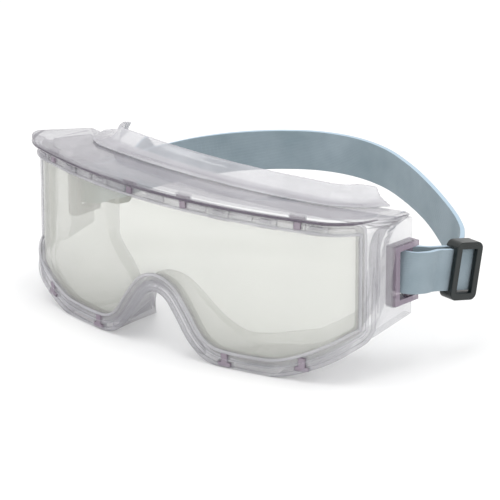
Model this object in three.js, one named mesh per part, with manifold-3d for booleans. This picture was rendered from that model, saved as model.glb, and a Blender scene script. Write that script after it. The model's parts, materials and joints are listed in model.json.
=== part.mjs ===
// Over-the-glasses safety goggles: a soft clear vinyl face body with a wrap-around lens, a raised forehead
// lip, snap-in lens clips, and a rubber headband on two pinned strap lugs with sliding buckles.
// Millimetres. The wearer looks along -Y, +X is the wearer's left and +Z is up. The goggles stand on their
// cheek lobes and the origin is under the middle of the whole object.
import * as THREE from "three";
import { mergeVertices } from "three/addons/utils/BufferGeometryUtils.js";
import Module from "manifold-3d";

const wasm = await Module();
wasm.setup();

// ---- Driving dimensions ----
const FRONT_RADIUS = 200; // plan radius of the lens across the face
const FRONT_HALF_ARC = 68; // arc length from the middle to where the corner bend starts
const CORNER_RADIUS = 17; // plan radius of the wrap at the temples
const CORNER_END_DEG = 88; // direction of the lens at its side edge, 90 would be straight back
const BODY_HEIGHT = 62.9;
const NOSE_HEIGHT = 22.5; // top of the nose notch in the rim
const TEMPLE_HEIGHT = 22; // where the straight side of the rim ends and the cheek curve starts
const REAR_DEPTH = 46.6; // rear edge of the shelf at the temples
const FOREHEAD_DEPTH = 35; // rear edge of the shelf in the middle
const SHELF_DROP = 4.8; // fall of the brow shelf from the rim to its rear edge
const WALL = 2;
const FOOT_TRIM = 0.5; // height cut off the lowest part of the cheek lobes to make flat feet
const GAP = 0.3; // clearance between pieces that touch

const LENS_THICK = 2;
const LENS_SEAT = 3; // depth of the lens groove in from the rim's edge
const LENS_PLAY = 0.8; // room round the lens's edge in its groove
const RIM_WIDTH = 6.6; // front lip, in from the rim's edge
const RIM_PROUD = 1.6; // how far the front lip stands in front of the lens
const BROW = { overhang: 2.4, height: 1.8 }; // ridge that overhangs the lens along the top
const REAR_LIP_WIDTH = 5.4;
const REAR_LIP_THICK = 1.6;
const FLANGE_WIDTH = 7;
const FLANGE_THICK = 1.8;

const VENT_POCKETS = 12;
const VENT_POCKET = { width: 8.2, height: 2.4, depth: 0.7 };

const LIP_HALF_WIDTH = 64.6;
const LIP_HEIGHT = 6.6;
const LIP_WALL = 1.5;
const LIP_FOOT = 8; // width of the foot that sits on the shelf
const LIP_END_TURN = 13; // how far the ends of the lip turn back

const CLIP = { stem: 2.6, head: 5.4, headHeight: 1.6, height: 5, proud: 0.4 };
const TOP_CLIPS = [13, 60]; // arc distance of each clip from the middle, both sides
const BOTTOM_CLIPS = [31, 62];

const STRAP_WIDTH = 15.4;
const STRAP_THICK = 1.8;
const PIN_RADIUS = 1.5;
const LOOP_PLAY = 2.1; // between the pin and the strap bent round it
const LOOP_RADIUS = PIN_RADIUS + LOOP_PLAY + STRAP_THICK / 2; // centre line of the strap's bend round the pin
const PIN_HEIGHT = 36.4; // middle of the pin
const PIN_OUT = 0.4; // pin's axis outside the lens's side
const PIN_INSET = 0.2; // pin's axis in from the shelf's rear edge
const SLOT_PLAY = 1.4; // above and below the strap between the lug's arms
const LUG_ARM = 2;
const LUG_THICK = 4.6;
const LUG_BAR = 2.4;
const BAR_PLAY = 2; // between the strap's bend and the lug's front bar
const STRAP_OUT_DEG = 10; // the strap leaves the lug outwards
const STRAP_DOWN_DEG = 10; // and sags towards the buckle

const BUCKLE = { length: 12.4, bar: 2.6, centreBar: 2.4, centreThick: 1.6, rail: 2.6, thick: 2, at: 23.6 };
const BUCKLE_TRAVEL = 6;
const RUN_CLEARANCE = 0.5; // between the strap and a buckle bar

// ---- Solids ----
function toSolid(geometry) {
  const bare = geometry.clone();
  bare.deleteAttribute("normal");
  bare.deleteAttribute("uv");
  const merged = mergeVertices(bare, 1e-4);
  return new wasm.Manifold(
    new wasm.Mesh({
      numProp: 3,
      vertProperties: new Float32Array(merged.attributes.position.array),
      triVerts: new Uint32Array(merged.index.array),
    }),
  );
}

function toGeometry(solid) {
  const m = solid.getMesh();
  const position = new Float32Array(m.numVert * 3);
  for (let i = 0; i < m.numVert; i++) {
    position.set(m.vertProperties.subarray(i * m.numProp, i * m.numProp + 3), i * 3);
  }
  const geometry = new THREE.BufferGeometry();
  geometry.setAttribute("position", new THREE.BufferAttribute(position, 3));
  geometry.setIndex(new THREE.BufferAttribute(new Uint32Array(m.triVerts), 1));
  const flat = geometry.toNonIndexed();
  flat.computeVertexNormals();
  return flat;
}

function boxSolid(size, centre, matrix = new THREE.Matrix4()) {
  const g = new THREE.BoxGeometry(...size);
  g.translate(...centre);
  g.applyMatrix4(matrix);
  return toSolid(g);
}

function cylinderSolid(radius, height, centre, segments = 20) {
  const g = new THREE.CylinderGeometry(radius, radius, height, segments);
  g.rotateX(Math.PI / 2);
  g.translate(...centre);
  return toSolid(g);
}

// Closed surface through rings of points: a tube with capped ends, or a ring that closes on itself.
function loft(rings, closed = false) {
  const sides = rings[0].length;
  const count = rings.length;
  const position = rings.flat().flatMap((p) => [p.x, p.y, p.z]);
  const index = [];
  const last = closed ? count : count - 1;
  for (let i = 0; i < last; i++) {
    for (let j = 0; j < sides; j++) {
      const a = i * sides + j;
      const b = i * sides + ((j + 1) % sides);
      const c = ((i + 1) % count) * sides + ((j + 1) % sides);
      const d = ((i + 1) % count) * sides + j;
      index.push(a, b, c, a, c, d);
    }
  }
  if (!closed) {
    for (let j = 1; j < sides - 1; j++) {
      index.push(0, j + 1, j);
      const e = (count - 1) * sides;
      index.push(e, e + j, e + j + 1);
    }
  }
  const geometry = new THREE.BufferGeometry();
  geometry.setAttribute("position", new THREE.Float32BufferAttribute(position, 3));
  geometry.setIndex(index);
  let solid = toSolid(geometry);
  if (solid.volume() < 0) {
    for (let k = 0; k < index.length; k += 3) [index[k + 1], index[k + 2]] = [index[k + 2], index[k + 1]];
    geometry.setIndex(index);
    solid = toSolid(geometry);
  }
  return solid;
}

// ---- The lens surface: a front arc, a corner arc and a straight side, seen in plan ----
const CORNER_START = FRONT_HALF_ARC / FRONT_RADIUS;
const CORNER_END = THREE.MathUtils.degToRad(CORNER_END_DEG);
const HALF_ARC = FRONT_HALF_ARC + CORNER_RADIUS * (CORNER_END - CORNER_START);

// Point at arc distance u from the middle, height z, and offset out of the surface.
function onFront(u, z, offset = 0) {
  const side = Math.sign(u) || 1;
  const s = Math.abs(u);
  const angle = Math.min(
    s < FRONT_HALF_ARC ? s / FRONT_RADIUS : CORNER_START + (s - FRONT_HALF_ARC) / CORNER_RADIUS,
    CORNER_END,
  );
  let x = FRONT_RADIUS * Math.sin(Math.min(angle, CORNER_START));
  let y = FRONT_RADIUS * (1 - Math.cos(Math.min(angle, CORNER_START)));
  if (s > FRONT_HALF_ARC) {
    x += CORNER_RADIUS * (Math.sin(angle) - Math.sin(CORNER_START));
    y += CORNER_RADIUS * (Math.cos(CORNER_START) - Math.cos(angle));
  }
  const past = Math.max(0, s - HALF_ARC);
  x += past * Math.cos(CORNER_END) + offset * Math.sin(angle);
  y += past * Math.sin(CORNER_END) - offset * Math.cos(angle);
  return new THREE.Vector3(side * x, y, z);
}

const SIDE_X = onFront(HALF_ARC, 0).x;
const PIN = new THREE.Vector3(SIDE_X + PIN_OUT, REAR_DEPTH - PIN_INSET, PIN_HEIGHT);
const LUG_SLOT = STRAP_WIDTH + 2 * SLOT_PLAY; // clear height between the lug's arms

// ---- Outlines, as right-half control points from the top middle down to the nose ----
// Rim: [arc distance u, height z, inward direction u, inward direction z].
const RIM_CONTROLS = [
  [0, BODY_HEIGHT, 0, -1],
  [FRONT_HALF_ARC * 0.55, BODY_HEIGHT, 0, -1],
  [FRONT_HALF_ARC - 6, BODY_HEIGHT, 0, -1],
  [FRONT_HALF_ARC + 3, BODY_HEIGHT - 0.1, 0, -1],
  [HALF_ARC - 9, BODY_HEIGHT - 0.2, 0, -1],
  [HALF_ARC - 1.6, BODY_HEIGHT - 2.2, -0.75, -0.75],
  [HALF_ARC, BODY_HEIGHT - 9, -1, 0],
  [HALF_ARC, (BODY_HEIGHT + TEMPLE_HEIGHT) / 2, -1, 0],
  [HALF_ARC, TEMPLE_HEIGHT, -1, 0.05],
  [HALF_ARC - 1, TEMPLE_HEIGHT * 0.82, -0.9, 0.42],
  [HALF_ARC - 3.5, TEMPLE_HEIGHT * 0.7, -0.62, 0.78],
  [HALF_ARC - 8, TEMPLE_HEIGHT * 0.6, -0.48, 0.88],
  [HALF_ARC - 14, TEMPLE_HEIGHT * 0.44, -0.48, 0.88],
  [HALF_ARC - 21, TEMPLE_HEIGHT * 0.27, -0.42, 0.91],
  [HALF_ARC - 28, TEMPLE_HEIGHT * 0.135, -0.33, 0.94],
  [HALF_ARC - 36, TEMPLE_HEIGHT * 0.03, -0.18, 0.98],
  [HALF_ARC - 43, 0, -0.05, 1],
  [HALF_ARC - 58, 0, 0.15, 0.99],
  [HALF_ARC - 67, NOSE_HEIGHT * 0.1, 0.6, 0.8],
  [HALF_ARC - 73.5, NOSE_HEIGHT * 0.34, 0.86, 0.5],
  [HALF_ARC - 79, NOSE_HEIGHT * 0.68, 0.85, 0.52],
  [HALF_ARC - 83.5, NOSE_HEIGHT * 0.92, 0.5, 0.87],
  [0, NOSE_HEIGHT, 0, 1],
];
// Face edge: [x, y, z, inward direction x, inward direction z, share of the full flange width].
const REAR_TOP = BODY_HEIGHT - SHELF_DROP;
const SKIRT_X = SIDE_X - 8.5; // the sealing skirt stands inside the strap loop
const FACE_CONTROLS = [
  [0, FOREHEAD_DEPTH, REAR_TOP, 0, -1, 1],
  [35, FOREHEAD_DEPTH + 2.4, REAR_TOP, 0, -1, 1],
  [SIDE_X - 20, REAR_DEPTH - 5.4, REAR_TOP, 0, -1, 1],
  [SIDE_X - 13, REAR_DEPTH - 3.6, REAR_TOP, 0, -1, 1],
  [SIDE_X - 6, REAR_DEPTH - 1.6, REAR_TOP, 0, -1, 1],
  [SIDE_X + 0.6, REAR_DEPTH, REAR_TOP - 0.6, -0.75, -0.75, 1],
  [SKIRT_X + 4, REAR_DEPTH - 1, REAR_TOP - 6, -1, -0.3, 1],
  [SKIRT_X, REAR_DEPTH - 1, (BODY_HEIGHT + TEMPLE_HEIGHT) / 2, -1, 0, 1],
  [SKIRT_X, REAR_DEPTH - 1, TEMPLE_HEIGHT * 1.15, -1, 0.05, 1],
  [SKIRT_X - 1.5, REAR_DEPTH - 1.6, TEMPLE_HEIGHT * 0.88, -0.9, 0.42, 1],
  [SKIRT_X - 4, REAR_DEPTH - 2.4, TEMPLE_HEIGHT * 0.68, -0.62, 0.78, 1],
  [SKIRT_X - 8, REAR_DEPTH - 3.4, TEMPLE_HEIGHT * 0.5, -0.48, 0.88, 1],
  [SKIRT_X - 13, REAR_DEPTH - 4.8, TEMPLE_HEIGHT * 0.34, -0.48, 0.88, 1],
  [SKIRT_X - 18, REAR_DEPTH - 6.4, TEMPLE_HEIGHT * 0.2, -0.42, 0.91, 1],
  [47, REAR_DEPTH - 8.6, TEMPLE_HEIGHT * 0.09, -0.33, 0.94, 1],
  [41, REAR_DEPTH - 10.6, TEMPLE_HEIGHT * 0.02, -0.18, 0.98, 1],
  [36, REAR_DEPTH - 13, 0, -0.05, 1, 0.9],
  [28, REAR_DEPTH - 18, 0, 0.15, 0.99, 0.7],
  [21.5, REAR_DEPTH - 25, NOSE_HEIGHT * 0.16, 0.6, 0.8, 0.5],
  [16, REAR_DEPTH - 31, NOSE_HEIGHT * 0.5, 0.86, 0.5, 0.35],
  [10.5, REAR_DEPTH - 35, NOSE_HEIGHT * 0.84, 0.85, 0.52, 0.3],
  [5.5, REAR_DEPTH - 36.6, NOSE_HEIGHT * 1.03, 0.5, 0.87, 0.3],
  [0, REAR_DEPTH - 37, NOSE_HEIGHT * 1.08, 0, 1, 0.3],
];
const STEPS_PER_CONTROL = 3;

// Closed curve through both halves of a control list; toPoint turns one control and its side into a point.
function closedOutline(controls, toPoint) {
  const right = controls.map((c) => toPoint(c, 1));
  const left = controls.slice(1, -1).reverse().map((c) => toPoint(c, -1));
  const curve = new THREE.CatmullRomCurve3([...right, ...left], true, "centripetal");
  return curve.getPoints((right.length + left.length) * STEPS_PER_CONTROL).slice(0, -1);
}

function rimOutline(inset) {
  return closedOutline(RIM_CONTROLS, ([u, z, du, dz], side) =>
    new THREE.Vector3(side * (u + du * inset), z + dz * inset, 0));
}

function faceOutline(depth, forward) {
  return closedOutline(FACE_CONTROLS, ([x, y, z, dx, dz, share], side) => {
    const inset = Math.min(depth, WALL) + share * Math.max(0, depth - WALL);
    return new THREE.Vector3(side * (x + dx * inset), y - forward, z + dz * inset);
  });
}

const rimRing = (inset, offset) => rimOutline(inset).map((p) => onFront(p.x, p.y, offset));
const ridgeRing = (inset) => rimOutline(inset).map((p) => {
  const brow = THREE.MathUtils.smoothstep(p.y, BODY_HEIGHT - 8, BODY_HEIGHT - 2);
  return onFront(p.x, p.y, RIM_PROUD + BROW.overhang * brow);
});

// ---- Face body ----
function bodyShell() {
  const behindLens = -(LENS_THICK + GAP);
  const lines = [
    ridgeRing(0),
    ridgeRing(BROW.height),
    rimRing(BROW.height + 0.5, RIM_PROUD),
    rimRing(RIM_WIDTH, RIM_PROUD),
    rimRing(RIM_WIDTH, GAP),
    rimRing(LENS_SEAT, GAP),
    rimRing(LENS_SEAT, behindLens),
    rimRing(REAR_LIP_WIDTH, behindLens),
    rimRing(REAR_LIP_WIDTH, behindLens - REAR_LIP_THICK),
    rimRing(WALL, behindLens - REAR_LIP_THICK),
    faceOutline(WALL, FLANGE_THICK),
    faceOutline(FLANGE_WIDTH, FLANGE_THICK),
    faceOutline(FLANGE_WIDTH, 0),
    faceOutline(0, 0),
  ];
  const sections = lines[0].map((_, i) => lines.map((line) => line[i]));
  return loft(sections, true);
}

// Outer wing that carries the lug: the rim's side carried straight back to the rear corner of the shelf.
function wing() {
  const front = HALF_ARC - 1;
  const back = HALF_ARC + REAR_DEPTH - onFront(HALF_ARC, 0).y - 0.2;
  const outline = [
    [front, BODY_HEIGHT - 5],
    [back, REAR_TOP - 1.5],
    [back, TEMPLE_HEIGHT - 1.4],
    [front, TEMPLE_HEIGHT * 0.75],
  ];
  const ring = (offset) => outline.map(([u, z]) => onFront(u, z, offset));
  return loft([ring(-WALL), ring(RIM_PROUD - 0.2)]);
}

function notch() {
  const halfHeight = LUG_SLOT / 2 + LUG_ARM + GAP;
  const front = PIN.y - LUG_FRONT - GAP;
  const depth = REAR_DEPTH + 6 - front;
  return boxSolid([8, depth, 2 * halfHeight], [SIDE_X + 0.6, front + depth / 2, PIN.z]);
}

// Frame of a spot on the lens surface: X along the arc, Y up, Z out of the surface.
function surfaceMatrix(u, z) {
  const origin = onFront(u, z);
  const out = onFront(u, z, 1).sub(origin);
  const up = new THREE.Vector3(0, 0, 1);
  const along = up.clone().cross(out).normalize();
  return new THREE.Matrix4().makeBasis(along, up, out).setPosition(origin);
}

function rimHeight(u, top) {
  const line = rimOutline(0).filter((p) => (top ? p.y > BODY_HEIGHT / 2 : p.y <= BODY_HEIGHT / 2));
  line.sort((a, b) => a.x - b.x);
  const next = line.findIndex((p) => p.x >= u);
  const [a, b] = [line[next - 1], line[next]];
  return a.y + ((b.y - a.y) * (u - a.x)) / (b.x - a.x);
}

const clipPlaces = [
  ...TOP_CLIPS.map((u) => ({ u, top: true, name: "top" })),
  ...BOTTOM_CLIPS.map((u) => ({ u, top: false, name: "bottom" })),
].flatMap((c, i) => [
  { ...c, side: 1, label: `${c.name}_left_${(i % 2) + 1}` },
  { ...c, side: -1, label: `${c.name}_right_${(i % 2) + 1}` },
]);

// T-shaped clip standing in the front lip, grown by clearance for its pocket.
function clipSolid({ u, top, side }, clearance) {
  const arc = side * u;
  const sign = top ? -1 : 1;
  const edge = rimHeight(arc, top) + sign * 0.8;
  const matrix = surfaceMatrix(arc, edge);
  const back = clearance ? 0 : GAP;
  const front = RIM_PROUD + CLIP.proud + clearance;
  const depth = front - back;
  const part = (width, from, to) => boxSolid(
    [width + 2 * clearance, Math.abs(to - from) + 2 * clearance, depth],
    [0, (sign * (from + to)) / 2, (front + back) / 2],
    matrix,
  );
  return part(CLIP.head, 0, CLIP.headHeight).add(part(CLIP.stem, CLIP.headHeight - 0.2, CLIP.height));
}

function ventPockets() {
  const pockets = [];
  const span = 2 * (HALF_ARC - 12);
  for (let i = 0; i < VENT_POCKETS; i++) {
    const u = -span / 2 + (span * (i + 0.5)) / VENT_POCKETS;
    const reach = (CLIP.head + VENT_POCKET.width) / 2;
    const near = clipPlaces.some((c) => c.top && Math.abs(c.side * c.u - u) < reach);
    if (near) continue;
    pockets.push(boxSolid(
      [VENT_POCKET.width, VENT_POCKET.height, 2 * VENT_POCKET.depth],
      [0, 0, RIM_PROUD],
      surfaceMatrix(u, BODY_HEIGHT - RIM_WIDTH / 2),
    ));
  }
  return pockets;
}

// Plan curve of the forehead lip, which follows the forehead edge of the shelf and turns back at its ends.
function lipPlan(t) {
  const x = t * LIP_HALF_WIDTH;
  const turn = Math.max(0, Math.abs(t) - 0.8) / 0.2;
  const y = FOREHEAD_DEPTH - 5.5 + 6.5 * t * t + LIP_END_TURN * turn * turn;
  return new THREE.Vector3(x - Math.sign(t) * turn * turn * 1.5, y, 0);
}

// Height of the shelf's upper surface, which falls from the rim to the face edge.
function shelfHeight(x, y) {
  const u = THREE.MathUtils.clamp(x, -SIDE_X + 1, SIDE_X - 1);
  const front = u * u / (2 * FRONT_RADIUS) - RIM_PROUD;
  const rear = FOREHEAD_DEPTH + (REAR_DEPTH - FOREHEAD_DEPTH) * (u / SIDE_X) ** 2;
  return BODY_HEIGHT - (SHELF_DROP * Math.max(0, y - front)) / (rear - front);
}

// Lug's front face ahead of the pin's axis.
const LUG_FRONT = LOOP_RADIUS + STRAP_THICK / 2 + BAR_PLAY + LUG_BAR;

function mirrored(solid) {
  return solid.mirror([1, 0, 0]);
}

function faceBody() {
  let body = bodyShell();
  const rightWing = wing().subtract(notch());
  body = body.add(rightWing).add(mirrored(rightWing));
  for (const c of clipPlaces) body = body.subtract(clipSolid(c, GAP));
  for (const p of ventPockets()) body = body.subtract(p);
  return body.subtract(boxSolid([200, 200, 20], [0, 20, FOOT_TRIM - 10]));
}

// ---- Lens: columns between its lower and upper edges ----
const LENS_COLUMNS = 64;
function lens() {
  const inset = LENS_SEAT + LENS_PLAY;
  const outline = rimOutline(inset);
  const widest = Math.max(...outline.map((p) => p.x)) - 0.15;
  const edge = (u, top) => {
    const crossings = [];
    outline.forEach((a, i) => {
      const b = outline[(i + 1) % outline.length];
      if ((a.x - u) * (b.x - u) <= 0 && a.x !== b.x) {
        crossings.push(a.y + ((b.y - a.y) * (u - a.x)) / (b.x - a.x));
      }
    });
    return top ? Math.max(...crossings) : Math.min(...crossings);
  };
  const rings = [];
  for (let i = 0; i <= LENS_COLUMNS; i++) {
    const u = -widest * Math.cos((Math.PI * i) / LENS_COLUMNS);
    const [low, high] = [edge(u, false), edge(u, true)];
    rings.push([
      onFront(u, low), onFront(u, high), onFront(u, high, -LENS_THICK), onFront(u, low, -LENS_THICK),
    ]);
  }
  return loft(rings);
}

// ---- Forehead lip: swept along the shelf, with a foot in front and a wall that rises to the rear ----
const LIP_STEPS = 44;
function foreheadLip() {
  const rings = [];
  for (let i = 0; i <= LIP_STEPS; i++) {
    const t = -1 + (2 * i) / LIP_STEPS;
    const at = lipPlan(t);
    const ahead = lipPlan(Math.min(1, t + 0.01)).sub(lipPlan(Math.max(-1, t - 0.01))).normalize();
    const back = new THREE.Vector3(-ahead.y, ahead.x, 0);
    const end = Math.max(0, Math.abs(t) - 0.93) / 0.07;
    const height = LIP_HEIGHT * (1 - 0.3 * end * end);
    const spot = (depth, rise) => {
      const p = at.clone().addScaledVector(back, depth);
      return p.setZ(Math.max(shelfHeight(p.x, p.y), REAR_TOP) + GAP + rise);
    };
    rings.push([
      spot(-LIP_FOOT, 0), spot(-LIP_FOOT, 0.5), spot(-LIP_FOOT / 2, 0.9), spot(-1, height * 0.3),
      spot(0.9, height * 0.6), spot(2.2, height),
      spot(2.2 + LIP_WALL, height), spot(0.9 + LIP_WALL, height * 0.5),
      spot(0.4 + LIP_WALL, 0),
    ]);
  }
  return loft(rings);
}

// ---- Strap lug and pin, on the wearer's left ----
function strapLug() {
  const halfSlot = LUG_SLOT / 2;
  const front = PIN.y - LUG_FRONT;
  const armLength = LUG_FRONT + PIN_RADIUS + 1.6;
  const armY = front + armLength / 2;
  const bar = boxSolid([LUG_THICK, LUG_BAR, LUG_SLOT + 2 * LUG_ARM], [PIN.x, front + LUG_BAR / 2, PIN.z]);
  const arm = (side) => boxSolid(
    [LUG_THICK, armLength, LUG_ARM],
    [PIN.x, armY, PIN.z + side * (halfSlot + LUG_ARM / 2)],
  );
  const hole = cylinderSolid(PIN_RADIUS + GAP, LUG_SLOT + 20, [PIN.x, PIN.y, PIN.z]);
  return bar.add(arm(1)).add(arm(-1)).subtract(hole);
}

// Plain pin with chamfered ends, held between the top and bottom of the side notch.
function strapPin() {
  const half = LUG_SLOT / 2 + LUG_ARM;
  const chamfer = 0.4;
  const profile = [
    [0, -half], [PIN_RADIUS - chamfer, -half], [PIN_RADIUS, -half + chamfer],
    [PIN_RADIUS, half - chamfer], [PIN_RADIUS - chamfer, half], [0, half],
  ].map(([r, z]) => new THREE.Vector2(r, z));
  const g = new THREE.LatheGeometry(profile, 20);
  g.rotateX(Math.PI / 2);
  g.translate(PIN.x, PIN.y, PIN.z);
  return toSolid(g);
}

// ---- The strap's straight run: X back along the strap, Y outwards, Z across its width ----
const RUN = new THREE.Matrix4()
  .makeTranslation(PIN)
  .multiply(new THREE.Matrix4().makeRotationZ(THREE.MathUtils.degToRad(90 - STRAP_OUT_DEG)))
  .multiply(new THREE.Matrix4().makeRotationY(THREE.MathUtils.degToRad(STRAP_DOWN_DEG)))
  .multiply(new THREE.Matrix4().makeScale(1, -1, 1));
// Half the distance between the two layers.
const LAYER = (BUCKLE.centreThick + STRAP_THICK) / 2 + RUN_CLEARANCE;
const RUN_END = BUCKLE.at + BUCKLE.length / 2 + 0.3;
const RUN_START = BUCKLE.at - BUCKLE.length / 2 - BUCKLE_TRAVEL - 0.3;

// Centre line of one side of the band: tail tip, outer layer, bend round the pin, inner layer.
const TAIL_PAST = 1.2; // how far each tail reaches past its buckle
const BAND_LEAVES = BUCKLE.at - 3; // where the inner layer turns away behind the buckle
function sidePath(tail) {
  const along = (s, out) => new THREE.Vector3(s, out, 0).applyMatrix4(RUN);
  const straight = (end) => [0, 0.25, 0.5, 0.75, 1].map((t) => THREE.MathUtils.lerp(RUN_START, end, t));
  const bend = [];
  for (let i = 0; i <= 8; i++) {
    const turn = Math.PI / 2 + (Math.PI * i) / 8;
    bend.push(along(LOOP_RADIUS * Math.cos(turn), LOOP_RADIUS * Math.sin(turn)));
  }
  return [
    ...tail.map((offset) => new THREE.Vector3(...offset).add(PIN)),
    ...straight(RUN_END + TAIL_PAST).map((s) => along(s, LAYER)).reverse(),
    along(RUN_START * 0.5, LOOP_RADIUS * 0.9),
    ...bend,
    along(RUN_START * 0.5, -LOOP_RADIUS * 0.9),
    ...straight(BAND_LEAVES).map((s) => along(s, -LAYER)),
  ];
}

// The wearer's right tail runs on past its buckle. This is its mirror image, from the tip forwards, as
// offsets from the pin: out, back and up.
const LONG_TAIL = [[6, 44.6, 0.8], [8, 40.2, -2.6], [8.6, 35.6, -5]];
// Free band behind the head, from the wearer's left buckle to the middle of the back: share of the pin's
// distance from the middle, then back and up from the pin.
const BAND_HALF = [
  [1.01, 27.2, -3], [0.96, 32.8, -1.4], [0.888, 37.4, 0.6], [0.753, 43.6, 4], [0.587, 50.4, 7],
  [0.395, 57.2, 9.2], [0.204, 62.6, 10.4], [0, 64.6, 10.8],
];
const bandPoint = (side) => ([share, back, rise]) =>
  new THREE.Vector3(side * share * PIN.x, PIN.y + back, PIN.z + rise);
const BAND_POINTS = [...BAND_HALF.map(bandPoint(1)), ...BAND_HALF.slice(0, -1).map(bandPoint(-1)).reverse()];

function strap() {
  const leftSide = sidePath([]);
  const rightSide = sidePath(LONG_TAIL).map((p) => p.setX(-p.x)).reverse();
  const curve = new THREE.CatmullRomCurve3([...leftSide, ...BAND_POINTS, ...rightSide], false, "centripetal");
  const steps = 220;
  const points = curve.getSpacedPoints(steps);
  const runUp = new THREE.Vector3(0, 0, 1).transformDirection(RUN);
  const rings = points.map((p, i) => {
    const ahead = points[Math.min(steps, i + 1)].clone().sub(points[Math.max(0, i - 1)]).normalize();
    // The width leans with the sagging run at the sides and stands upright behind the head.
    const lean = 1 - THREE.MathUtils.smoothstep(p.y, 80, 98);
    const side = runUp.clone().setX(Math.sign(p.x) * runUp.x);
    const up = new THREE.Vector3(0, 0, 1).lerp(side, lean);
    const out = ahead.clone().cross(up).normalize().multiplyScalar(STRAP_THICK / 2);
    const across = out.clone().cross(ahead).normalize().multiplyScalar(STRAP_WIDTH / 2);
    return [
      p.clone().add(out).add(across), p.clone().sub(out).add(across),
      p.clone().sub(out).sub(across), p.clone().add(out).sub(across),
    ];
  });
  return loft(rings);
}

// ---- Slide buckle on the wearer's left run ----
function roundedPlate(length, width, radius, thick) {
  const [x, y] = [length / 2, width / 2];
  const shape = new THREE.Shape();
  shape.moveTo(-x + radius, -y);
  shape.lineTo(x - radius, -y).absarc(x - radius, -y + radius, radius, -Math.PI / 2, 0);
  shape.lineTo(x, y - radius).absarc(x - radius, y - radius, radius, 0, Math.PI / 2);
  shape.lineTo(-x + radius, y).absarc(-x + radius, y - radius, radius, Math.PI / 2, Math.PI);
  shape.lineTo(-x, -y + radius).absarc(-x + radius, -y + radius, radius, Math.PI, 1.5 * Math.PI);
  const g = new THREE.ExtrudeGeometry(shape, { depth: thick, bevelEnabled: false, curveSegments: 6 });
  g.translate(0, 0, -thick / 2);
  g.rotateX(Math.PI / 2);
  return toSolid(g);
}

function buckle() {
  const { length, bar, centreBar, centreThick, rail, thick } = BUCKLE;
  const window = STRAP_WIDTH + 2 * RUN_CLEARANCE;
  const width = window + 2 * rail;
  const outerFace = LAYER + STRAP_THICK / 2 + RUN_CLEARANCE; // underside of the two end bars
  const deep = outerFace + thick + centreThick / 2;
  const middle = (outerFace + thick - centreThick / 2) / 2;
  const plate = roundedPlate(length, width, 2.6, deep).translate([0, middle, 0]);
  const opening = boxSolid([length - 2 * bar, 3 * deep, window], [0, 0, 0]);
  const tunnel = boxSolid([length + 2, outerFace + 4, window], [0, outerFace / 2 - 2, 0]);
  const centre = boxSolid([centreBar, centreThick, window + 1], [0, 0, 0]);
  const buckleShape = plate.subtract(opening).subtract(tunnel).add(centre);
  return buckleShape.translate([BUCKLE.at, 0, 0]).transform(RUN.elements);
}

// ---- Assembly ----
const clear = (color, opacity) => new THREE.MeshStandardMaterial({
  color, roughness: 0.2, metalness: 0, transparent: true, opacity,
});
const vinyl = clear(0xe4e3e8, 0.45);
const lensPlastic = clear(0xe6e8df, 0.3);
const lugPlastic = clear(0xd8cbd8, 0.6);
const rubber = new THREE.MeshStandardMaterial({ color: 0x8ea3ad, roughness: 0.75, metalness: 0 });
const black = new THREE.MeshStandardMaterial({ color: 0x10181a, roughness: 0.35, metalness: 0 });

const goggles = new THREE.Group();
function place(name, solid, material) {
  const mesh = new THREE.Mesh(toGeometry(solid), material);
  mesh.name = name;
  goggles.add(mesh);
}

place("face_body", faceBody(), vinyl);
place("lens", lens(), lensPlastic);
place("forehead_lip", foreheadLip(), vinyl);
for (const c of clipPlaces) place(`lens_clip_${c.label}`, clipSolid(c, 0), lugPlastic);
place("head_strap", strap(), rubber);
for (const [side, sided] of [["left", (solid) => solid], ["right", mirrored]]) {
  place(`strap_lug_${side}`, sided(strapLug()), lugPlastic);
  place(`strap_pin_${side}`, sided(strapPin()), lugPlastic);
  place(`buckle_${side}`, sided(buckle()), black);
}

// The origin goes under the middle of the box round everything.
goggles.updateMatrixWorld(true);
const whole = new THREE.Box3().setFromObject(goggles);
const middle = whole.getCenter(new THREE.Vector3());
goggles.position.set(-middle.x, -middle.y, -whole.min.z);

export default goggles;
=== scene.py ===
"""Over-the-glasses safety goggles: clear body, bent lens, lilac lugs and clips, rubber band, black buckles.

The scene is in metres. The moulded outline is in millimetres, as the solid model has it.
"""
import json
import math

import bmesh
import bpy
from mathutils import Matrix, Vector


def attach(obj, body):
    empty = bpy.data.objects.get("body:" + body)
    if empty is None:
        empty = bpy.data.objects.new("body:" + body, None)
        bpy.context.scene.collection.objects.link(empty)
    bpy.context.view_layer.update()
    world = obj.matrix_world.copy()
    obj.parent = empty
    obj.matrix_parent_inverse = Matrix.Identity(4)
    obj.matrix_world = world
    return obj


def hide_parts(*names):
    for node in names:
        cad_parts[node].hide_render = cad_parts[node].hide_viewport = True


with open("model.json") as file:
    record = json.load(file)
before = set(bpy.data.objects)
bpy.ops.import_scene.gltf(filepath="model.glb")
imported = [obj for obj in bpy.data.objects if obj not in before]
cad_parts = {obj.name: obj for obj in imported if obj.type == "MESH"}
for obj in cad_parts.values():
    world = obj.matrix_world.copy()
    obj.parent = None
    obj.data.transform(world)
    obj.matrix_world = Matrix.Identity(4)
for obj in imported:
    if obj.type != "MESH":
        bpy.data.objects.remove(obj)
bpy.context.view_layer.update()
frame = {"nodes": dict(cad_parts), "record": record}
MM = 0.001

# ---- Camera, light and floor ----
CAMERA_AT = Vector((0.8492, -0.9655, 0.4620))
CAMERA_AZIMUTH = 41.45
CAMERA_ELEVATION = 18.82
CAMERA_LENS = 262.7
SENSOR_WIDTH = 36
LIT_POINT = (0, 0, 0.03)
WORLD_STRENGTH = 1.0
FLOOR_HALF = 4.0
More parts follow.
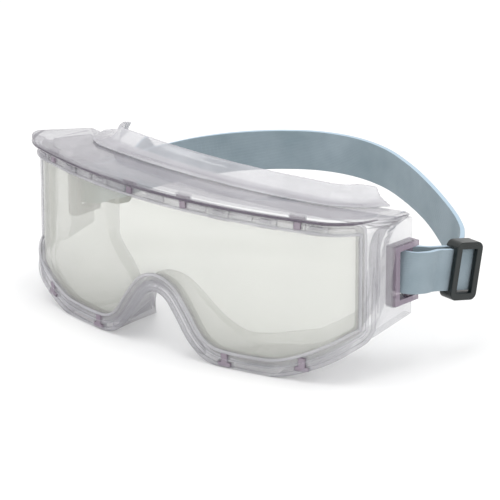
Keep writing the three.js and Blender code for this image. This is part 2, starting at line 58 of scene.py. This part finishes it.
# Name, place, size and watts of each soft light.
LIGHTS = (
    ("top_soft", (0.05, -0.05, 0.7), (0.5, 0.35), 1.3),
    ("left_strip", (-0.6, -0.5, 0.35), (0.12, 0.5), 0.8),
    ("right_strip", (0.75, -0.2, 0.45), (0.1, 0.4), 0.45),
)


def make_camera():
    data = bpy.data.cameras.new("view_camera")
    data.lens = CAMERA_LENS
    data.sensor_width = SENSOR_WIDTH
    camera = bpy.data.objects.new("view_camera", data)
    camera.location = CAMERA_AT
    camera.rotation_euler = (math.radians(90 - CAMERA_ELEVATION), 0, math.radians(CAMERA_AZIMUTH))
    bpy.context.scene.collection.objects.link(camera)
    bpy.context.scene.camera = camera


def area_light(name, at, size, power):
    data = bpy.data.lights.new(name, "AREA")
    data.shape = "RECTANGLE"
    data.size, data.size_y = size
    data.energy = power
    light = bpy.data.objects.new(name, data)
    light.location = at
    light.rotation_euler = (Vector(LIT_POINT) - Vector(at)).to_track_quat("-Z", "Y").to_euler()
    bpy.context.scene.collection.objects.link(light)


def make_studio():
    world = bpy.data.worlds.new("studio")
    world.use_nodes = True
    background = world.node_tree.nodes["Background"]
    background.inputs["Color"].default_value = (1, 1, 1, 1)
    background.inputs["Strength"].default_value = WORLD_STRENGTH
    bpy.context.scene.world = world
    for light in LIGHTS:
        area_light(*light)
    bpy.context.scene.view_settings.view_transform = "Standard"

    mesh = bpy.data.meshes.new("floor")
    corners = [(x * FLOOR_HALF, y * FLOOR_HALF, 0) for x, y in ((-1, -1), (1, -1), (1, 1), (-1, 1))]
    mesh.from_pydata(corners, [], [(0, 1, 2, 3)])
    floor = bpy.data.objects.new("floor", mesh)
    bpy.context.scene.collection.objects.link(floor)
    material, shader, _ = new_material("floor_paper", (0.93, 0.93, 0.93), 0.9)
    shader.inputs["Specular IOR Level"].default_value = 0.1
    mesh.materials.append(material)


# ---- Materials ----
def new_material(name, color, roughness):
    material = bpy.data.materials.new(name)
    material.use_nodes = True
    tree = material.node_tree
    shader = tree.nodes["Principled BSDF"]
    shader.inputs["Base Color"].default_value = (*color, 1)
    shader.inputs["Roughness"].default_value = roughness
    return material, shader, tree


def node(tree, kind, **inputs):
    made = tree.nodes.new(kind)
    for key, value in inputs.items():
        made.inputs[key.replace("_", " ")].default_value = value
    return made


def noise_at(tree, scale, detail=3.0, stretch=(1, 1, 1)):
    place = tree.nodes.new("ShaderNodeTexCoord")
    mapping = tree.nodes.new("ShaderNodeMapping")
    mapping.inputs["Scale"].default_value = stretch
    texture = node(tree, "ShaderNodeTexNoise", Scale=scale, Detail=detail)
    tree.links.new(place.outputs["Object"], mapping.inputs["Vector"])
    tree.links.new(mapping.outputs["Vector"], texture.inputs["Vector"])
    return texture.outputs["Fac"]


def ramp(tree, factor, low, high, start=0.3, end=0.7):
    made = tree.nodes.new("ShaderNodeValToRGB")
    made.color_ramp.elements[0].position = start
    made.color_ramp.elements[1].position = end
    made.color_ramp.elements[0].color = (*low, 1)
    made.color_ramp.elements[1].color = (*high, 1)
    tree.links.new(factor, made.inputs["Fac"])
    return made.outputs["Color"]


def spread(tree, factor, low, high, start=0.0, end=1.0):
    made = node(tree, "ShaderNodeMapRange")
    for key, value in (("From Min", start), ("From Max", end), ("To Min", low), ("To Max", high)):
        made.inputs[key].default_value = value
    tree.links.new(factor, made.inputs["Value"])
    return made.outputs["Result"]


def bump(tree, shader, height, strength, distance):
    made = node(tree, "ShaderNodeBump", Strength=strength, Distance=distance)
    tree.links.new(height, made.inputs["Height"])
    tree.links.new(made.outputs["Normal"], shader.inputs["Normal"])


def clear_plastic(name, low, high, edge, face_alpha, edge_alpha, power, roughness):
    """Thin clear plastic with faint flow marks: denser where seen edge on, and painted darker there as
    painted shade for the dark refraction at its edges.
    """
    material, shader, tree = new_material(name, low, roughness)
    shader.inputs["IOR"].default_value = 1.5
    shader.inputs["Coat Weight"].default_value = 0.4
    shader.inputs["Coat Roughness"].default_value = 0.04
    facing = node(tree, "ShaderNodeLayerWeight", Blend=0.5)
    sharper = tree.nodes.new("ShaderNodeMath")
    sharper.operation = "POWER"
    sharper.inputs[1].default_value = power
    tree.links.new(facing.outputs["Facing"], sharper.inputs[0])
    tree.links.new(spread(tree, sharper.outputs["Value"], face_alpha, edge_alpha), shader.inputs["Alpha"])
    # Painted shade: the colour goes to the dark edge colour where the plastic is seen edge on, standing in
    # for refraction.
    painted_edge_shade = tree.nodes.new("ShaderNodeMix")
    painted_edge_shade.data_type = "RGBA"
    tree.links.new(sharper.outputs["Value"], painted_edge_shade.inputs["Factor"])
    tree.links.new(ramp(tree, noise_at(tree, 38, 4), low, high), painted_edge_shade.inputs["A"])
    painted_edge_shade.inputs["B"].default_value = (*edge, 1)
    tree.links.new(painted_edge_shade.outputs["Result"], shader.inputs["Base Color"])
    patches = spread(tree, noise_at(tree, 160, 4), roughness * 0.6, roughness * 1.5)
    tree.links.new(patches, shader.inputs["Roughness"])
    bump(tree, shader, noise_at(tree, 70, 2, (1, 1, 0.4)), 0.25, 0.0008)
    return material


def strap_rubber():
    material, shader, tree = new_material("strap_rubber", (0.25, 0.35, 0.41), 0.62)
    shader.inputs["Specular IOR Level"].default_value = 0.35
    shader.inputs["Sheen Weight"].default_value = 0.15
    base = ramp(tree, noise_at(tree, 55, 5), (0.20, 0.265, 0.30), (0.285, 0.35, 0.395))
    place = tree.nodes.new("ShaderNodeTexCoord")
    ribs = node(tree, "ShaderNodeTexWave", Scale=520.0, Distortion=0.4, Detail=1.0)
    ribs.bands_direction = "Z"
    tree.links.new(place.outputs["Object"], ribs.inputs["Vector"])
    # Painted light: faces that look up, along the band's top edge, are painted lighter, as if lit from
    # above.
    up = tree.nodes.new("ShaderNodeSeparateXYZ")
    normal = tree.nodes.new("ShaderNodeNewGeometry")
    tree.links.new(normal.outputs["Normal"], up.inputs["Vector"])
    edge = spread(tree, up.outputs["Z"], 0.0, 1.0, 0.6, 0.85)
    painted_top_light = tree.nodes.new("ShaderNodeMix")
    painted_top_light.data_type = "RGBA"
    tree.links.new(edge, painted_top_light.inputs["Factor"])
    tree.links.new(base, painted_top_light.inputs["A"])
    painted_top_light.inputs["B"].default_value = (0.41, 0.53, 0.63, 1)
    tree.links.new(painted_top_light.outputs["Result"], shader.inputs["Base Color"])
    tree.links.new(spread(tree, noise_at(tree, 240, 4), 0.5, 0.78), shader.inputs["Roughness"])
    bump(tree, shader, ribs.outputs["Fac"], 0.22, 0.0002)
    return material


def buckle_black():
    material, shader, tree = new_material("buckle_black", (0.008, 0.011, 0.013), 0.32)
    tree.links.new(ramp(tree, noise_at(tree, 90, 5), (0.002, 0.005, 0.005), (0.007, 0.013, 0.013)),
                   shader.inputs["Base Color"])
    tree.links.new(spread(tree, noise_at(tree, 300, 4), 0.22, 0.42), shader.inputs["Roughness"])
    bump(tree, shader, noise_at(tree, 900, 2), 0.15, 0.0001)
    return material


# In each look, edge is a painted shade: the dark colour shown where the plastic is seen edge on, standing
# in for refraction.
CLEAR_PLASTICS = {
    "clear_vinyl": dict(
        low=(0.46, 0.455, 0.49), high=(0.74, 0.74, 0.77), edge=(0.09, 0.075, 0.11),
        face_alpha=0.16, edge_alpha=0.94, power=1.9, roughness=0.1),
    # The same vinyl, milkier: the forehead lip and the bead round the window.
    "lip_vinyl": dict(
        low=(0.54, 0.54, 0.57), high=(0.74, 0.74, 0.77), edge=(0.16, 0.14, 0.18),
        face_alpha=0.42, edge_alpha=0.94, power=2.2, roughness=0.1),
    # Painted shadow: dark vinyl for the bead under the brow, where the brow's overhang shades the lip.
    "brow_shadow_vinyl": dict(
        low=(0.10, 0.078, 0.115), high=(0.15, 0.12, 0.165), edge=(0.05, 0.04, 0.06),
        face_alpha=0.7, edge_alpha=0.97, power=1.2, roughness=0.12),
    "lens_plastic": dict(
        low=(0.57, 0.58, 0.515), high=(0.62, 0.63, 0.56), edge=(0.3, 0.3, 0.3),
        face_alpha=0.36, edge_alpha=0.62, power=3.0, roughness=0.06),
    "lilac_plastic": dict(
        low=(0.34, 0.27, 0.345), high=(0.45, 0.375, 0.455), edge=(0.11, 0.075, 0.12),
        face_alpha=0.55, edge_alpha=0.96, power=1.3, roughness=0.14),
}
MATERIALS = {name: clear_plastic(name, **look) for name, look in CLEAR_PLASTICS.items()}
MATERIALS["strap_rubber"] = strap_rubber()
MATERIALS["buckle_plastic"] = buckle_black()
SLOT_OF = {entry["node"]: entry["material_slot"] for entry in frame["record"]["subparts"]}
BODY_OF = {
    name: body for body, names in frame["record"]["behaviour"]["bodies"].items() for name in names
}
FINISH_OF = {"forehead_lip": "lip_vinyl"}
# Radius of the rounded edges, by the start of the node's name.
ROUNDING_MM = {
    "face_body": 0.45, "lens": 0.3, "head_strap": 0.4, "buckle": 0.8, "strap_lug": 0.6, "strap_pin": 0.2,
}
# Nodes that are remeshed and smoothed instead.
RELAXED = {"forehead_lip": dict(voxel=0.45 * MM, factor=0.5, rounds=10)}
SHARP_DEG = 35  # faces that meet more sharply than this keep an edge
BEAD_SHARP_DEG = 60
WELD = 2e-6
FLAT_DEG = 1  # faces closer to one plane than this are merged


# ---- Pieces ----
def add_piece(name, mesh, body, slot, smooth_angle=SHARP_DEG, finish=None):
    """Links a piece; finish names a variant of the slot's material where the piece needs one."""
    mesh.materials.clear()
    mesh.materials.append(MATERIALS[finish or slot])
    mesh.polygons.foreach_set("use_smooth", [True] * len(mesh.polygons))
    mesh.set_sharp_from_angle(angle=math.radians(smooth_angle))
    piece = bpy.data.objects.new(name, mesh)
    bpy.context.scene.collection.objects.link(piece)
    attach(piece, body)
    return piece


def soften(piece, width, segments=3):
    rounding = piece.modifiers.new("rounding", "BEVEL")
    rounding.width = width
    rounding.segments = segments
    rounding.limit_method = "ANGLE"
    rounding.angle_limit = math.radians(SHARP_DEG)
    rounding.harden_normals = True


def relax(piece, voxel, factor, rounds):
    """Evens out a soft moulding: one skin at the voxel's size, then smoothed."""
    skin = piece.modifiers.new("skin", "REMESH")
    skin.mode = "VOXEL"
    skin.voxel_size = voxel
    skin.use_smooth_shade = True
    smoothing = piece.modifiers.new("smoothing", "SMOOTH")
    smoothing.factor = factor
    smoothing.iterations = rounds


def moulded_copy(cad_name):
    """A copy of a CAD solid with softer edges, which stands for that solid."""
    mesh = frame["nodes"][cad_name].data.copy()
    bm = bmesh.new()
    bm.from_mesh(mesh)
    bmesh.ops.remove_doubles(bm, verts=bm.verts, dist=WELD)
    bmesh.ops.dissolve_limit(bm, angle_limit=math.radians(FLAT_DEG), verts=bm.verts, edges=bm.edges)
    bmesh.ops.recalc_face_normals(bm, faces=bm.faces)
    bm.to_mesh(mesh)
    bm.free()
    piece = add_piece(cad_name + "_moulded", mesh, BODY_OF[cad_name], SLOT_OF[cad_name],
                      finish=FINISH_OF.get(cad_name))
    if cad_name in RELAXED:
        relax(piece, **RELAXED[cad_name])
    else:
        soften(piece, next(mm for start, mm in ROUNDING_MM.items() if cad_name.startswith(start)) * MM)
    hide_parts(cad_name)


def finished_mesh(name, bm):
    bmesh.ops.recalc_face_normals(bm, faces=bm.faces)
    mesh = bpy.data.meshes.new(name)
    bm.to_mesh(mesh)
    bm.free()
    return mesh


# ---- The front rim's outline, as the solid model has it, in mm ----
ORIGIN = Vector((0, -53.948, -0.5))
FRONT_RADIUS, FRONT_HALF_ARC, CORNER_RADIUS = 200, 68, 17
CORNER_START = FRONT_HALF_ARC / FRONT_RADIUS
CORNER_END = math.radians(88)
HALF_ARC = FRONT_HALF_ARC + CORNER_RADIUS * (CORNER_END - CORNER_START)
BODY_HEIGHT, NOSE_HEIGHT, TEMPLE_HEIGHT = 62.9, 22.5, 22
RIM_PROUD, RIM_WIDTH, BROW_OVERHANG, BROW_HEIGHT = 1.6, 6.6, 2.4, 1.8
# Arc distance, height and inward direction, from the top middle down to the nose.
RIM_CONTROLS = [
    (0, BODY_HEIGHT, 0, -1),
    (FRONT_HALF_ARC * 0.55, BODY_HEIGHT, 0, -1),
    (FRONT_HALF_ARC - 6, BODY_HEIGHT, 0, -1),
    (FRONT_HALF_ARC + 3, BODY_HEIGHT - 0.1, 0, -1),
    (HALF_ARC - 9, BODY_HEIGHT - 0.2, 0, -1),
    (HALF_ARC - 1.6, BODY_HEIGHT - 2.2, -0.75, -0.75),
    (HALF_ARC, BODY_HEIGHT - 9, -1, 0),
    (HALF_ARC, (BODY_HEIGHT + TEMPLE_HEIGHT) / 2, -1, 0),
    (HALF_ARC, TEMPLE_HEIGHT, -1, 0.05),
    (HALF_ARC - 1, TEMPLE_HEIGHT * 0.82, -0.9, 0.42),
    (HALF_ARC - 3.5, TEMPLE_HEIGHT * 0.7, -0.62, 0.78),
    (HALF_ARC - 8, TEMPLE_HEIGHT * 0.6, -0.48, 0.88),
    (HALF_ARC - 14, TEMPLE_HEIGHT * 0.44, -0.48, 0.88),
    (HALF_ARC - 21, TEMPLE_HEIGHT * 0.27, -0.42, 0.91),
    (HALF_ARC - 28, TEMPLE_HEIGHT * 0.135, -0.33, 0.94),
    (HALF_ARC - 36, TEMPLE_HEIGHT * 0.03, -0.18, 0.98),
    (HALF_ARC - 43, 0, -0.05, 1),
    (HALF_ARC - 58, 0, 0.15, 0.99),
    (HALF_ARC - 67, NOSE_HEIGHT * 0.1, 0.6, 0.8),
    (HALF_ARC - 73.5, NOSE_HEIGHT * 0.34, 0.86, 0.5),
    (HALF_ARC - 79, NOSE_HEIGHT * 0.68, 0.85, 0.52),
    (HALF_ARC - 83.5, NOSE_HEIGHT * 0.92, 0.5, 0.87),
    (0, NOSE_HEIGHT, 0, 1),
]


def on_front(u, z, offset=0.0):
    """Point in metres at arc distance u, height z and offset out of the lens surface, all given in mm."""
    side, s = (-1 if u < 0 else 1), abs(u)
    bend = CORNER_START + (s - FRONT_HALF_ARC) / CORNER_RADIUS
    angle = s / FRONT_RADIUS if s < FRONT_HALF_ARC else bend
    angle = min(angle, CORNER_END)
    front = min(angle, CORNER_START)
    x = FRONT_RADIUS * math.sin(front)
    y = FRONT_RADIUS * (1 - math.cos(front))
    if s > FRONT_HALF_ARC:
        x += CORNER_RADIUS * (math.sin(angle) - math.sin(CORNER_START))
        y += CORNER_RADIUS * (math.cos(CORNER_START) - math.cos(angle))
    past = max(0.0, s - HALF_ARC)
    x += past * math.cos(CORNER_END) + offset * math.sin(angle)
    y += past * math.sin(CORNER_END) - offset * math.cos(angle)
    return (Vector((side * x, y, z)) + ORIGIN) * MM


def smooth_path(points, steps, closed):
    """Catmull-Rom curve through (u, z) points."""
    out = []
    count = len(points)
    for i in range(count if closed else count - 1):
        if closed:
            near = [points[(i + k - 1) % count] for k in range(4)]
        else:
            near = [points[min(max(i + k - 1, 0), count - 1)] for k in range(4)]
        for j in range(steps):
            t = j / steps
            out.append(tuple(
                0.5 * (2 * b + (c - a) * t + (2 * a - 5 * b + 4 * c - d) * t * t
                       + (3 * b - a - 3 * c + d) * t ** 3)
                for a, b, c, d in zip(*near)))
    return out if closed else out + [points[-1]]


def rim_points(inset, offset, first=0, closed=True, steps=5):
    """The rim's outline drawn in by inset. An open one starts both halves at the control numbered first."""
    left = [(u + du * inset, z + dz * inset) for u, z, du, dz in RIM_CONTROLS[first:]]
    right = [(-u, z) for u, z in reversed(left[1:-1] if closed else left[:-1])]
    return [on_front(u, z, offset) for u, z in smooth_path(left + right, steps, closed)]


BULGE_CENTRE_Y = 0.2  # the beads' outward direction fans out from here
BULGE_SIDEWAYS = 3
END_TAPER = 0.35  # share of the radius at an open bead's tip
TAPER_RINGS = 4


def tube(name, points, radius_mm, closed=False, sides=8, squash=1.0, finish=None):
    """A round bead of clear vinyl along the points; squash flattens it along the outward direction."""
    radius = radius_mm * MM
    count = len(points)
    bm = bmesh.new()
    rings = []
    for i, p in enumerate(points):
        ahead = points[(i + 1) % count] if closed or i + 1 < count else p
        behind = points[i - 1] if closed or i else p
        along = (ahead - behind).normalized()
        out = Vector((p.x * BULGE_SIDEWAYS, p.y - BULGE_CENTRE_Y, 0)).normalized()
        across = along.cross(out).normalized()
        out = across.cross(along).normalized()
        taper = 1.0 if closed else min(1.0, END_TAPER + min(i, count - 1 - i) / TAPER_RINGS)
        rings.append([bm.verts.new(p + taper * radius * (math.cos(a) * across + squash * math.sin(a) * out))
                      for a in (2 * math.pi * k / sides for k in range(sides))])
    for i in range(count if closed else count - 1):
        one, two = rings[i], rings[(i + 1) % count]
        for k in range(sides):
            bm.faces.new((one[k], one[(k + 1) % sides], two[(k + 1) % sides], two[k]))
    if not closed:
        bm.faces.new(reversed(rings[0]))
        bm.faces.new(rings[-1])
    # The beads are flattened where the goggles stand on them, as the feet are.
    for vert in bm.verts:
        vert.co.z = max(vert.co.z, 0.0)
    add_piece(name, finished_mesh(name, bm), "goggle", "clear_vinyl", BEAD_SHARP_DEG, finish)


TABS = 15
TAB_PITCH = 9.6
TAB_WIDTH = 8.2
TAB_DROP = 2.6  # top of the tabs below the rim's top
LONG_TAB, SHORT_TAB = 4.4, 3.0
TAB_BACK, TAB_FRONT = 0.6, 0.55  # behind and in front of the lip's face
TAB_STRIPS = 4
TAB_ROUNDING = 0.25 * MM
BOSS = {"drop": 4.2, "width": TAB_WIDTH * 0.5, "height": 1.3, "proud": 1.0}
TOP_CLIPS = (13, 60)  # arc distance of the T-headed clips, both sides
CLIP_CLEARANCE = 5  # from a clip's middle to the middle of the nearest tab


def raised_tab(bm, u, z, width, height, low, high):
    """A moulded tab on the lens surface, from offset low to offset high, wrapped to the curve in strips."""
    columns = [u - width / 2 + width * i / TAB_STRIPS for i in range(TAB_STRIPS + 1)]
    grid = [[bm.verts.new(on_front(c, zz, off)) for zz, off in
             ((z - height / 2, low), (z + height / 2, low), (z + height / 2, high), (z - height / 2, high))]
            for c in columns]
    for one, two in zip(grid, grid[1:]):
        for k in range(4):
            bm.faces.new((one[k], two[k], two[(k + 1) % 4], one[(k + 1) % 4]))
    bm.faces.new(grid[0])
    bm.faces.new(reversed(grid[-1]))


def crenellations():
    """Row of moulded tabs under the brow, alternately long and short, above the lens."""
    bm = bmesh.new()
    for i in range(TABS):
        u = (i - (TABS - 1) / 2) * TAB_PITCH
        if any(abs(abs(u) - clip) < CLIP_CLEARANCE for clip in TOP_CLIPS):
            continue
        long_tab = i % 2 == 0
        height = LONG_TAB if long_tab else SHORT_TAB
        middle = BODY_HEIGHT - TAB_DROP - height / 2
        raised_tab(bm, u, middle, TAB_WIDTH, height, RIM_PROUD - TAB_BACK, RIM_PROUD + TAB_FRONT)
        if long_tab:
            raised_tab(bm, u, BODY_HEIGHT - BOSS["drop"], BOSS["width"], BOSS["height"],
                       RIM_PROUD, RIM_PROUD + BOSS["proud"])
    mesh = finished_mesh("brow_crenellations", bm)
    soften(add_piece("brow_crenellations", mesh, "goggle", "clear_vinyl"), TAB_ROUNDING, 2)


MID_SIDE = 7  # control half-way down the side of the rim
NOSE_FOOT = 18  # control at the foot of the nose notch
BROW_STEPS = 30
BROW_SHARE = 0.985  # of the half arc that the painted shadow line under the brow runs
RIB = {"past": 1.6, "foot": 25, "length": 30, "steps": 12}


def rim_beads():
    """Rolled edges of the front lip, and a dark bead of painted shadow under the brow."""
    tube("window_bead", rim_points(RIM_WIDTH - 0.3, RIM_PROUD + 0.1), 0.6, True, finish="lip_vinyl")
    tube("groove_bead", rim_points(3.6, RIM_PROUD, MID_SIDE, False), 0.5)
    tube("edge_bead", rim_points(0.8, RIM_PROUD - 0.1, MID_SIDE, False), 0.85)
    tube("nose_roll", rim_points(1.9, RIM_PROUD - 0.4, NOSE_FOOT, False, 6), 1.9, sides=12, squash=0.8)
    # A dark bead of painted shadow, put under the brow's overhang where the lip is shaded.
    brow = [on_front(HALF_ARC * (i / BROW_STEPS - 1) * BROW_SHARE, BODY_HEIGHT - BROW_HEIGHT,
                     RIM_PROUD + BROW_OVERHANG - 0.5)
            for i in range(2 * BROW_STEPS + 1)]
    tube("brow_shadow_bead", brow, 0.65, finish="brow_shadow_vinyl")
    for name, side in (("left", 1), ("right", -1)):
        rib = [on_front(side * (HALF_ARC + RIB["past"]), RIB["foot"] + RIB["length"] * i / RIB["steps"],
                        RIM_PROUD - 0.3)
               for i in range(RIB["steps"] + 1)]
        tube("side_rib_" + name, rib, 0.6)


make_camera()
make_studio()
for cad_name in sorted(frame["nodes"]):
    moulded_copy(cad_name)

rim_beads()
crenellations()
